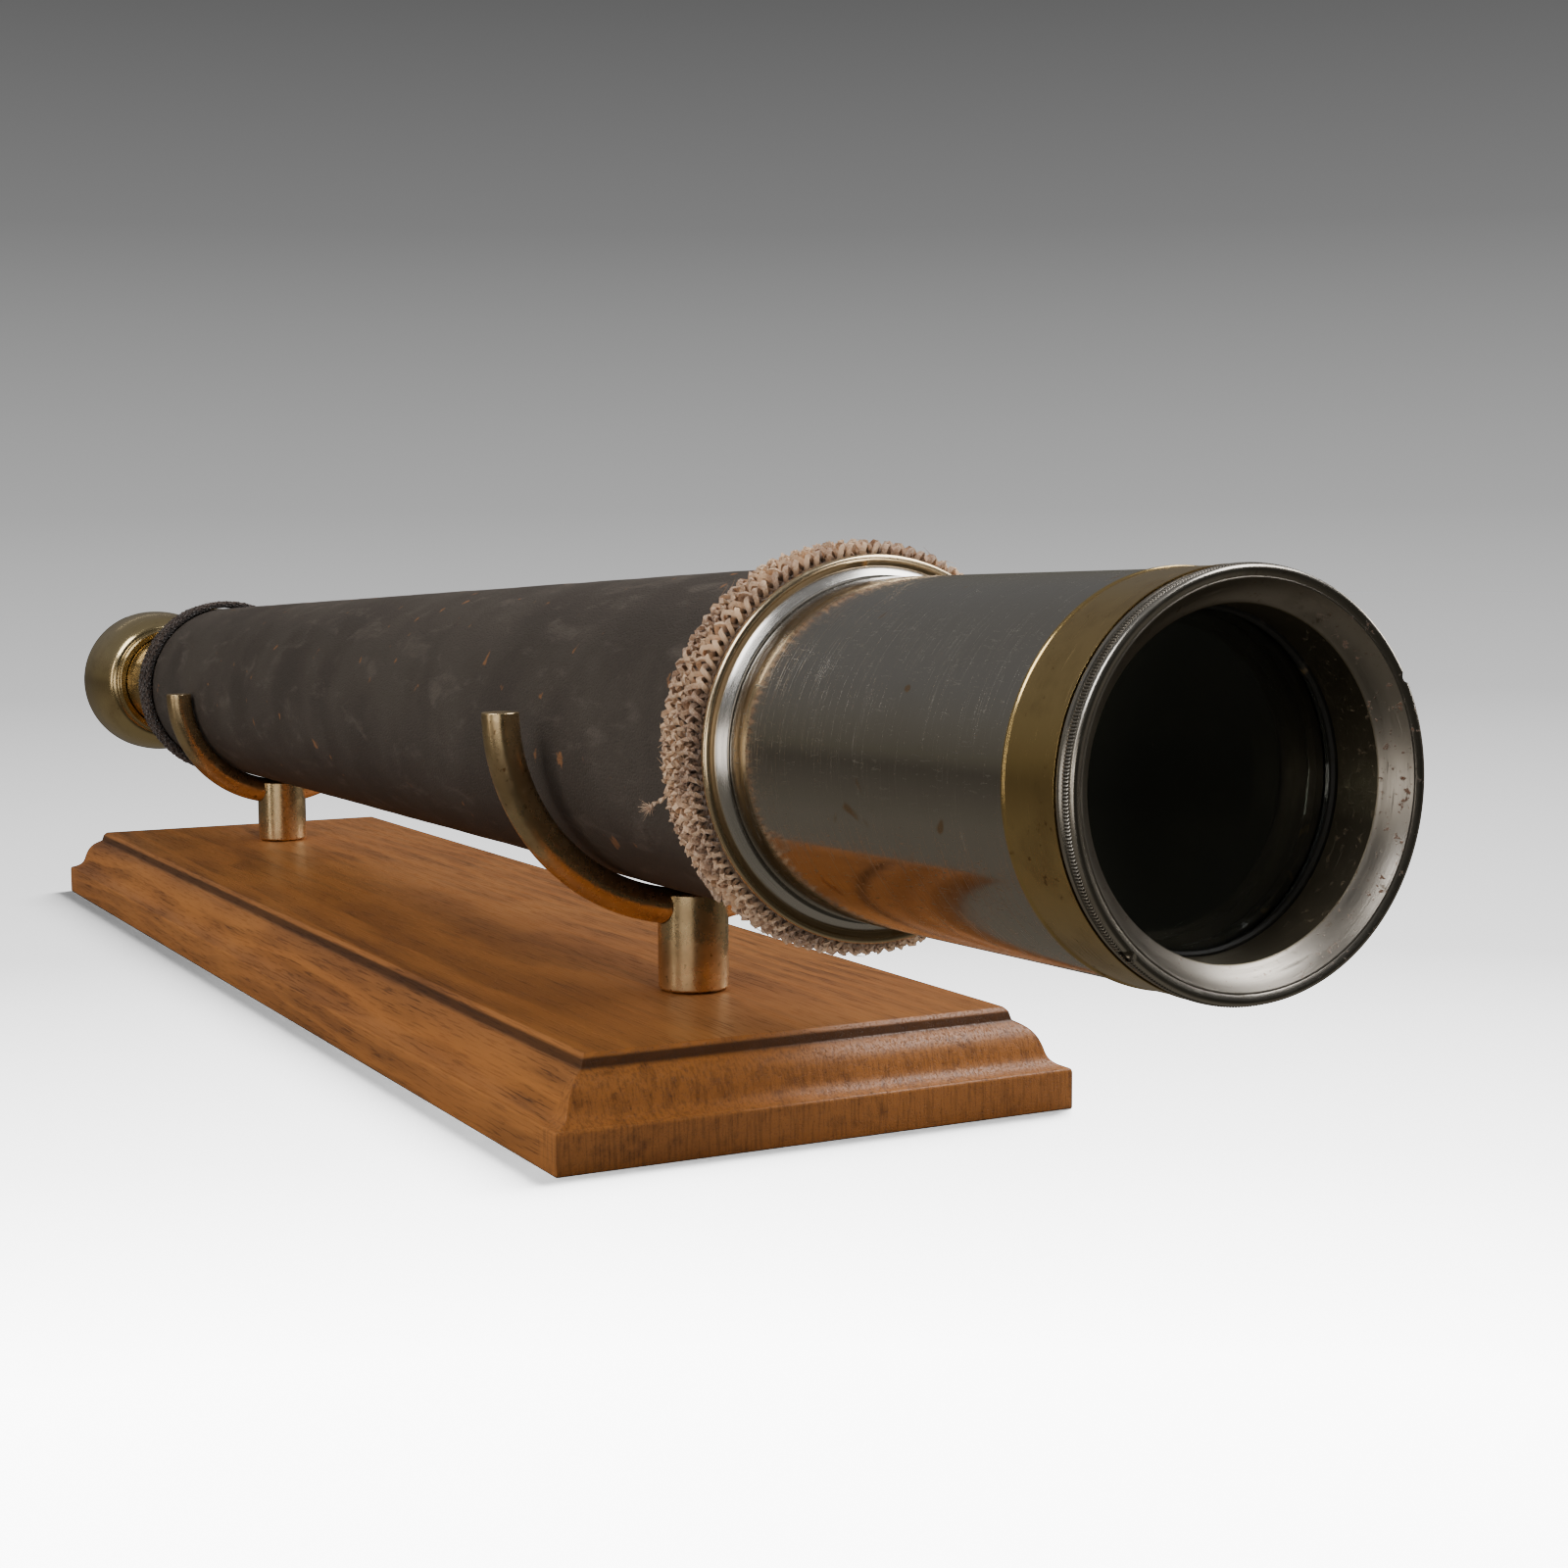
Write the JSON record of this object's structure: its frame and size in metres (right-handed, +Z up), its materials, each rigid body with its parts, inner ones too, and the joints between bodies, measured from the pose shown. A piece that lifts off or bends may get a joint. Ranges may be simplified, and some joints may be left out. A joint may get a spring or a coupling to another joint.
{
  "type": "telescope on a stand",
  "caption": "Tapered leather-covered hand telescope with sliding ray shade, draw tube focus and dust shutter, lying in two brass hoops on a moulded wooden base.",
  "frame": {"origin": "centre of the wooden base's underside", "axes": "+X along the base towards the telescope's objective end, +Z up"},
  "size_m": [0.7103, 0.117, 0.1199],
  "materials": {
    "oak": "stained and waxed oak, worn",
    "brass": "polished, aged",
    "draw_brass": "polished, sliding marks",
    "nickel": "nickel plate, scratched and tarnished",
    "leather": "dark brown, worn and matt",
    "cord": "plaited hemp cord, tan and grey",
    "dark_cord": "plaited cord, blackened",
    "blackened": "matt black lacquer on brass",
    "felt": "felt lining",
    "glass": "polished optical glass, dusty",
    "steel": "turned steel screws"
  },
  "bodies": {
    "stand": {"wood_base": "oak", "front_post": "brass", "rear_post": "brass", "front_hoop": "brass", "rear_hoop": "brass", "front_post_screw": "steel", "rear_post_screw": "steel"},
    "telescope": {"barrel_tube": "brass", "leather_cover": "leather", "front_cord_collar": "cord", "rear_cord_collar": "dark_cord", "front_ferrule": "nickel", "rear_ferrule": "brass", "draw_bush": "brass", "nose_tube": "brass", "objective_cell": "blackened", "crown_lens": "glass", "lens_spacer": "blackened", "flint_lens": "glass", "objective_retainer": "blackened", "front_baffle": "blackened", "rear_baffle": "blackened"},
    "ray_shade": {"shade_tube": "nickel", "shade_band": "brass", "end_ring": "nickel", "shade_guide": "felt"},
    "draw": {"draw_tube": "draw_brass", "draw_stop": "brass", "erector_tube": "brass", "erector_front_lens": "glass", "erector_stop": "blackened", "erector_rear_lens": "glass", "eyepiece_tube": "brass", "field_lens": "glass", "eye_lens_cell": "blackened", "eye_lens": "glass", "eye_bell": "brass", "shutter_pivot": "steel"},
    "shutter": {"dust_shutter": "brass"}
  },
  "joints": [
    {"name": "telescope_lift", "type": "slide", "parent": "stand", "child": "telescope", "axis": [0, 0, 1], "range_m": [0, 0.12]},
    {"name": "shade_slide", "type": "slide", "parent": "telescope", "child": "ray_shade", "axis": [0.9998, 0, 0.0216], "range_m": [0, 0.0834]},
    {"name": "draw_slide", "type": "slide", "parent": "telescope", "child": "draw", "axis": [-0.9998, 0, -0.0216], "range_m": [-0.061, 0.1375]},
    {"name": "shutter_swing", "type": "hinge", "parent": "draw", "child": "shutter", "pos_m": [-0.34071, 0, 0.05761], "axis": [0.9998, 0, 0.0216], "range_deg": [0, 65]}
  ]
}
